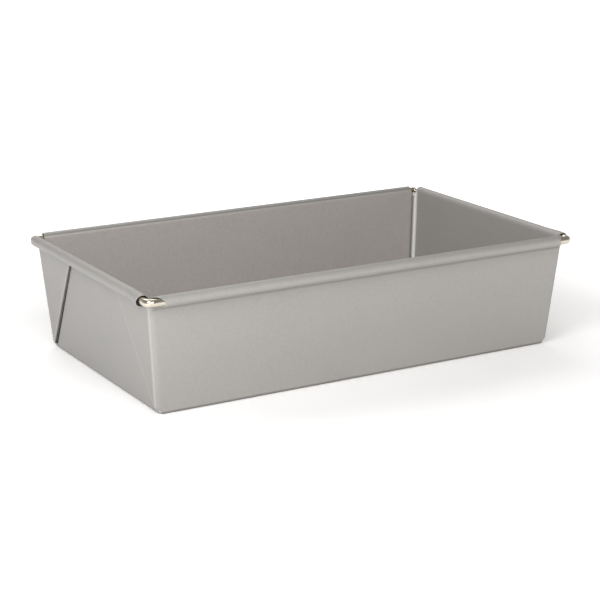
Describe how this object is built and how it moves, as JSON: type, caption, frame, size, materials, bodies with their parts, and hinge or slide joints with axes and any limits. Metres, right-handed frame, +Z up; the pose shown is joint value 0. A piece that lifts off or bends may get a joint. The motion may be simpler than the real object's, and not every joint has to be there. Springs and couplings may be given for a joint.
{
  "type": "loaf pan",
  "caption": "Rectangular loaf pan folded from one steel sheet, with leaning walls, folded ears on the end walls and a rim rolled over a loop of wire.",
  "frame": {"origin": "on the underside of the base, under the middle of the pan", "axes": "+X along the pan's length, +Y towards one long wall, +Z up out of the open mouth"},
  "size_m": [0.2523, 0.15, 0.0612],
  "materials": {
    "coated_sheet": "satin silver-grey coating with a fine mottle",
    "plated_wire": "bright warm nickel plating"
  },
  "bodies": {
    "root": {"pan_body": "coated_sheet", "rim_wire": "plated_wire"}
  },
  "joints": []
}
